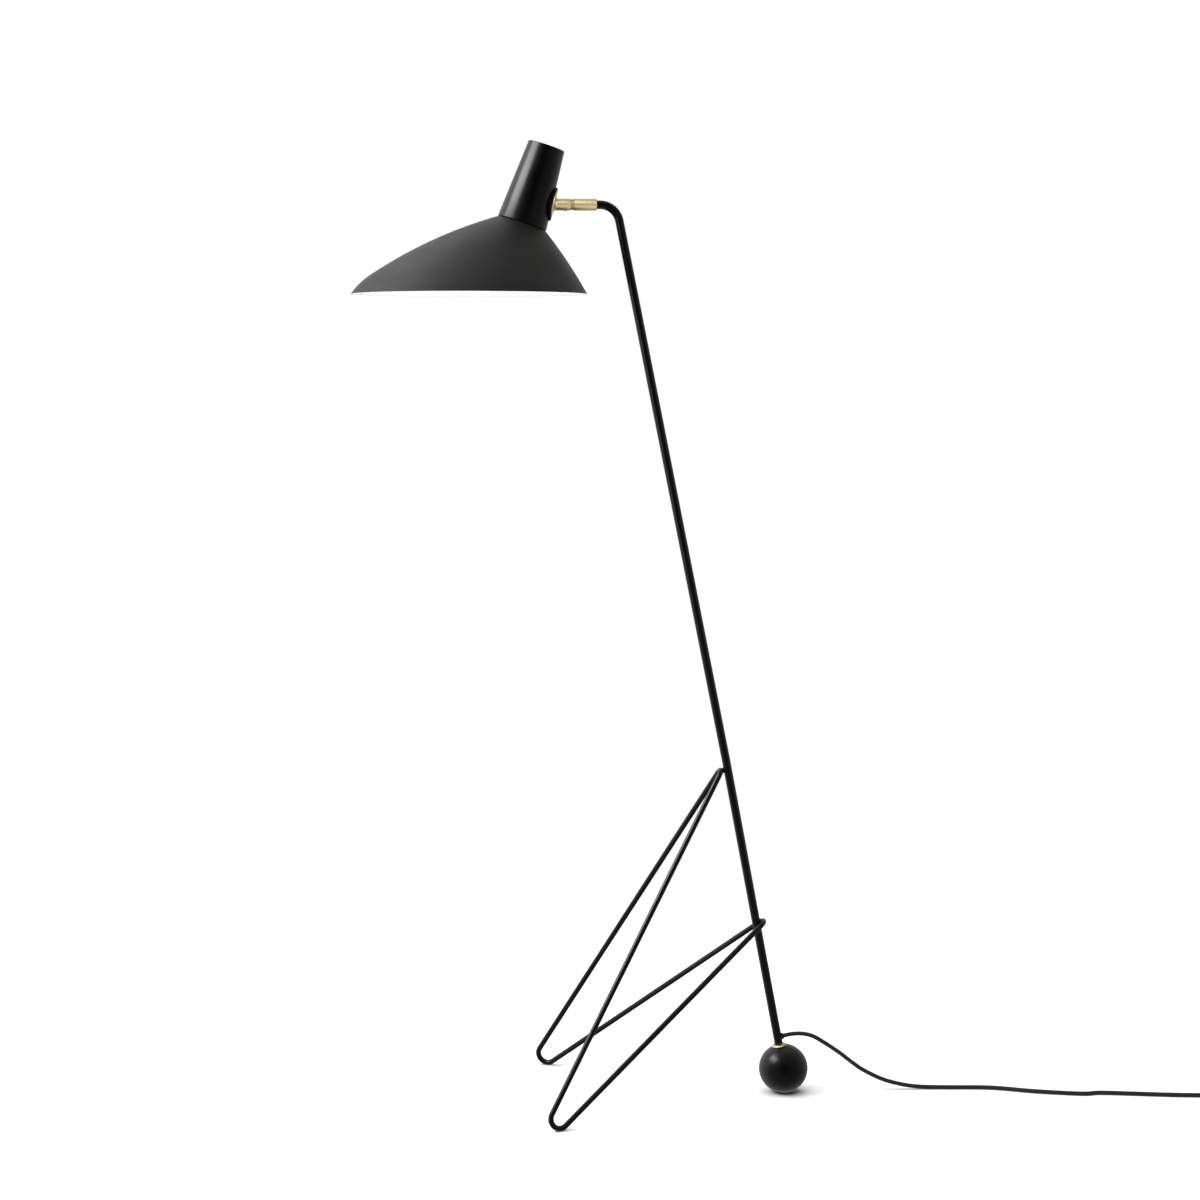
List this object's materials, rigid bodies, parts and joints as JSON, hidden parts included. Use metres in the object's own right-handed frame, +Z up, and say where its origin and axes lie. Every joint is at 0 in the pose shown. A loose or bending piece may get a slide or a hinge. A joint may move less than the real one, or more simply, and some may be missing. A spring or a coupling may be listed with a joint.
{
  "type": "floor lamp",
  "caption": "Reading floor lamp: a slanted tube stem on a ball, a bent rod leg loop, and a spun metal shade on a brass swivel arm, with cord, switch and plug.",
  "frame": {"origin": "on the floor under the middle of the lamp's box, measured without the cord and what is on it", "axes": "+Z up, +X from the shade towards the ball foot and the cord, +Y to the back, away from the leg loop's front foot"},
  "size_m": [1.4358, 0.352, 1.3501],
  "materials": {
    "black_paint": "satin",
    "shade_paint": "matte",
    "brass": "satin",
    "steel": "satin",
    "black_plastic": "matte",
    "white_plastic": "satin",
    "black_rubber": "matte",
    "opal_glass": "satin",
    "felt": "matte",
    "textile": "matte"
  },
  "bodies": {
    "stand": {"stem_tube": "black_paint", "leg_frame": "black_paint", "ball_foot": "black_paint", "ball_glide": "felt", "ball_collar": "brass", "ball_stud": "steel", "stem_insert": "steel", "cord_grommet": "black_rubber", "swivel_sleeve": "brass", "sleeve_grub_screw": "steel", "swivel_spindle": "steel", "friction_bush": "brass", "stem_lead": "textile", "cord_lead": "textile", "cord_tail": "textile", "cord_coil": "textile", "cord_end": "textile", "coil_tie": "black_rubber", "switch_base": "black_plastic", "switch_cover": "black_plastic", "rocker_pin": "steel", "contact_block": "white_plastic", "plug_strain_relief": "black_rubber", "plug_body": "black_plastic", "plug_pin_left": "brass", "plug_pin_right": "brass"},
    "head": {"swivel_flange": "brass", "flange_set_screw": "steel", "saddle_spacer": "black_rubber", "neck_nipple": "steel", "inner_saddle_washer": "steel", "nipple_nut": "steel", "neck_housing": "shade_paint", "shade": "shade_paint", "lampholder_skirt": "white_plastic", "lampholder_cap": "white_plastic", "lead_grip": "black_plastic", "screw_shell": "brass", "centre_contact": "brass", "shade_ring": "white_plastic", "bulb_base": "brass", "bulb_glass": "opal_glass", "head_lead": "textile"},
    "rocker": {"switch_rocker": "black_plastic"}
  },
  "joints": [
    {"name": "head_swivel", "type": "hinge", "parent": "stand", "child": "head", "pos_m": [-0.0139, 0, 1.2623], "axis": [1, 0, 0], "range_deg": [-165, 165]},
    {"name": "switch_rocker", "type": "hinge", "parent": "stand", "child": "rocker", "pos_m": [0.972, -0.0822, 0.0132], "axis": [0.1045, 0.9945, 0], "range_deg": [0, 14]}
  ]
}
